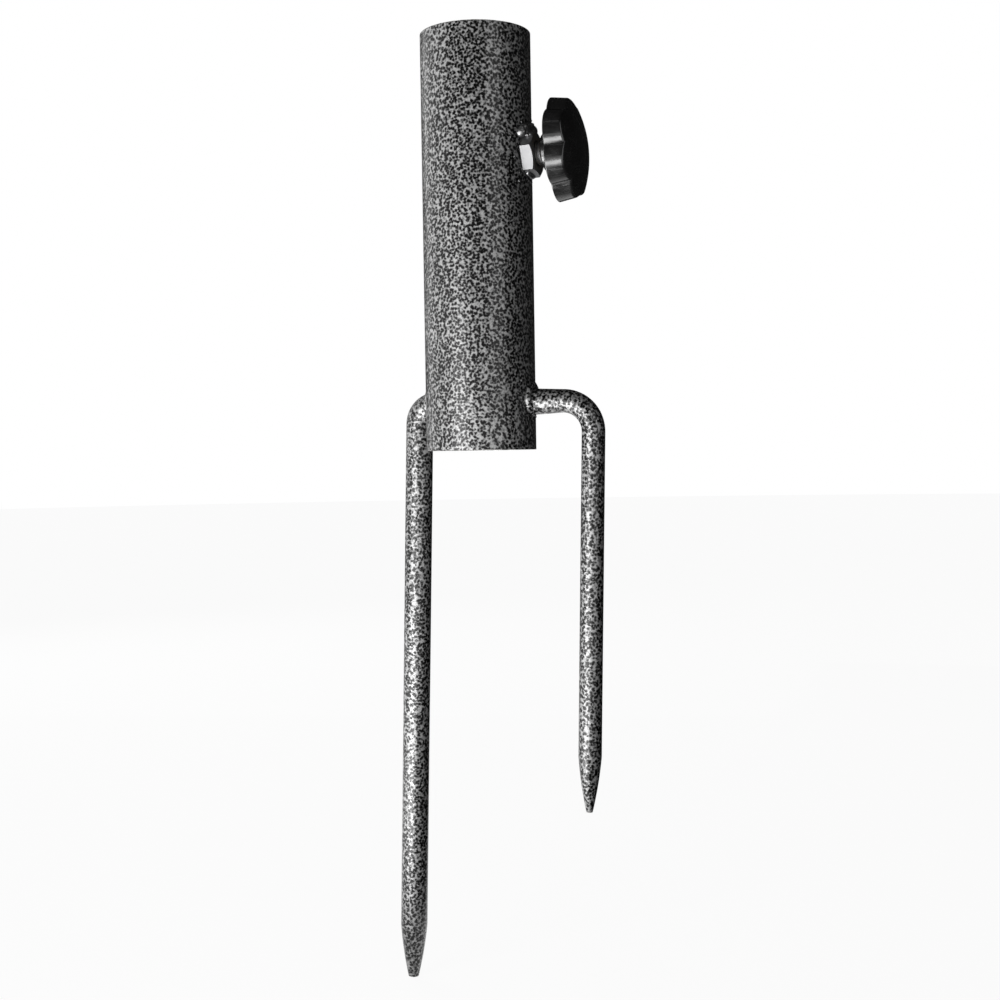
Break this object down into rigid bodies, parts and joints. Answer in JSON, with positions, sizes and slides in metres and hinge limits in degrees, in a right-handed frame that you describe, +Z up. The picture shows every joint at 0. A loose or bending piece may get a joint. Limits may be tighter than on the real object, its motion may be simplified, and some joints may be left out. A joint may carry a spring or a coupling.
{
  "type": "rod holder",
  "caption": "Steel socket tube on bent, pointed ground prongs, with a star-knob clamp screw that holds a fishing rod or pole in the tube.",
  "frame": {"origin": "on the socket tube's axis, at the tube's lower end", "axes": "+Z up along the tube's axis; +X to the side with the clamp screw and the short prong; +Y completes the right-handed frame"},
  "size_m": [0.0792, 0.038, 0.3312],
  "materials": {
    "hammertone_paint": "dark grey hammertone paint, semi-gloss",
    "zinc_steel": "bright zinc plate",
    "weld_metal": "weld bead, part painted over",
    "black_plastic": "black moulded plastic, satin gloss",
    "insert_brass": "plain brass"
  },
  "bodies": {
    "holder": {"socket_tube": "hammertone_paint", "short_prong": "hammertone_paint", "long_prong": "hammertone_paint", "short_prong_weld": "hammertone_paint", "long_prong_weld": "hammertone_paint", "clamp_nut": "zinc_steel", "clamp_nut_weld": "weld_metal"},
    "screw": {"clamp_screw": "zinc_steel"},
    "knob": {"knob": "black_plastic", "knob_insert": "insert_brass"}
  },
  "joints": [
    {"name": "clamp_travel", "type": "slide", "parent": "holder", "child": "screw", "axis": [0.9991, 0, 0.0419], "range_m": [-0.00219, 0.00281]},
    {"name": "knob_turn", "type": "hinge", "parent": "screw", "child": "knob", "pos_m": [0, 0, 0.0996], "axis": [0.9991, 0, 0.0419], "range_deg": [-630, 810]}
  ],
  "couplings": [
    {"joint": "knob_turn", "follows": "clamp_travel", "rad_per_m": 5026.5}
  ]
}
